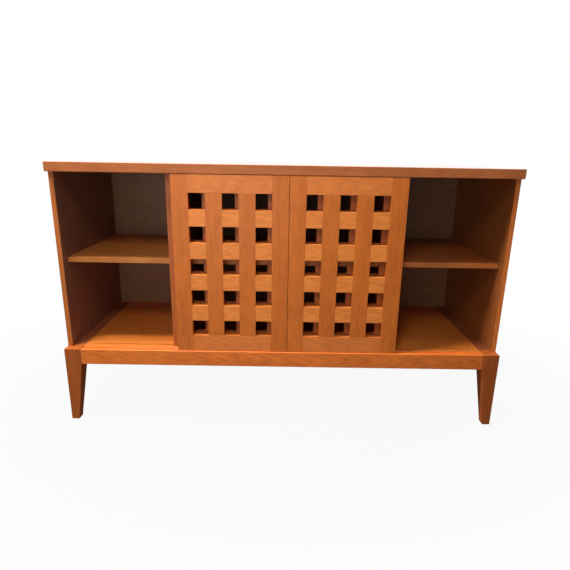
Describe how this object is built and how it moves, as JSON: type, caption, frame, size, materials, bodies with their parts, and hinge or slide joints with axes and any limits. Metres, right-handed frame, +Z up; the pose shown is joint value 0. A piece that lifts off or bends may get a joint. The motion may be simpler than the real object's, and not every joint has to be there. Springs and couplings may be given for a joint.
{
  "type": "sideboard with sliding lattice doors",
  "caption": "Low wooden sideboard on tapered legs, with open bays, shelves and lattice doors that slide sideways on two tracks.",
  "frame": {"origin": "on the floor, under the middle of the base", "axes": "+X to the right seen from the front, +Y from the front to the back, +Z up"},
  "size_m": [1.53, 0.539, 0.914],
  "materials": {
    "top_wood": "satin",
    "case_wood": "satin",
    "base_wood": "satin",
    "door_wood": "satin",
    "back_board": "satin",
    "cleat_wood": "matte",
    "pin_metal": "satin",
    "screw_metal": "satin"
  },
  "bodies": {
    "case": {"top_panel": "top_wood", "left_side": "case_wood", "right_side": "case_wood", "bottom_panel": "case_wood", "back_panel": "back_board", "dividers": "case_wood", "left_shelf": "case_wood", "center_shelf": "case_wood", "right_shelf": "case_wood", "shelf_pins": "pin_metal", "back_screws": "screw_metal", "front_base_rail": "base_wood", "back_base_rail": "base_wood", "left_base_rail": "base_wood", "right_base_rail": "base_wood", "front_left_leg": "base_wood", "front_right_leg": "base_wood", "back_left_leg": "base_wood", "back_right_leg": "base_wood", "bottom_cleats": "cleat_wood"},
    "front_left_door": {"front_left_door_left_stile": "door_wood", "front_left_door_right_stile": "door_wood", "front_left_door_top_rail": "door_wood", "front_left_door_bottom_rail": "door_wood", "front_left_door_left_slat": "door_wood", "front_left_door_right_slat": "door_wood", "front_left_door_bar_1": "door_wood", "front_left_door_bar_2": "door_wood", "front_left_door_bar_3": "door_wood", "front_left_door_bar_4": "door_wood"},
    "front_right_door": {"front_right_door_left_stile": "door_wood", "front_right_door_right_stile": "door_wood", "front_right_door_top_rail": "door_wood", "front_right_door_bottom_rail": "door_wood", "front_right_door_left_slat": "door_wood", "front_right_door_right_slat": "door_wood", "front_right_door_bar_1": "door_wood", "front_right_door_bar_2": "door_wood", "front_right_door_bar_3": "door_wood", "front_right_door_bar_4": "door_wood"},
    "rear_left_door": {"rear_left_door_left_stile": "door_wood", "rear_left_door_right_stile": "door_wood", "rear_left_door_top_rail": "door_wood", "rear_left_door_bottom_rail": "door_wood", "rear_left_door_left_slat": "door_wood", "rear_left_door_right_slat": "door_wood", "rear_left_door_bar_1": "door_wood", "rear_left_door_bar_2": "door_wood", "rear_left_door_bar_3": "door_wood", "rear_left_door_bar_4": "door_wood"},
    "rear_right_door": {"rear_right_door_left_stile": "door_wood", "rear_right_door_right_stile": "door_wood", "rear_right_door_top_rail": "door_wood", "rear_right_door_bottom_rail": "door_wood", "rear_right_door_left_slat": "door_wood", "rear_right_door_right_slat": "door_wood", "rear_right_door_bar_1": "door_wood", "rear_right_door_bar_2": "door_wood", "rear_right_door_bar_3": "door_wood", "rear_right_door_bar_4": "door_wood"}
  },
  "joints": [
    {"name": "front_left_door_slide", "type": "slide", "parent": "case", "child": "front_left_door", "axis": [-1, 0, 0], "range_m": [0, 0.39665]},
    {"name": "front_right_door_slide", "type": "slide", "parent": "case", "child": "front_right_door", "axis": [1, 0, 0], "range_m": [0, 0.36565]},
    {"name": "rear_left_door_slide", "type": "slide", "parent": "case", "child": "rear_left_door", "axis": [-1, 0, 0], "range_m": [0, 0.35535]},
    {"name": "rear_right_door_slide", "type": "slide", "parent": "case", "child": "rear_right_door", "axis": [1, 0, 0], "range_m": [0, 0.35535]}
  ]
}
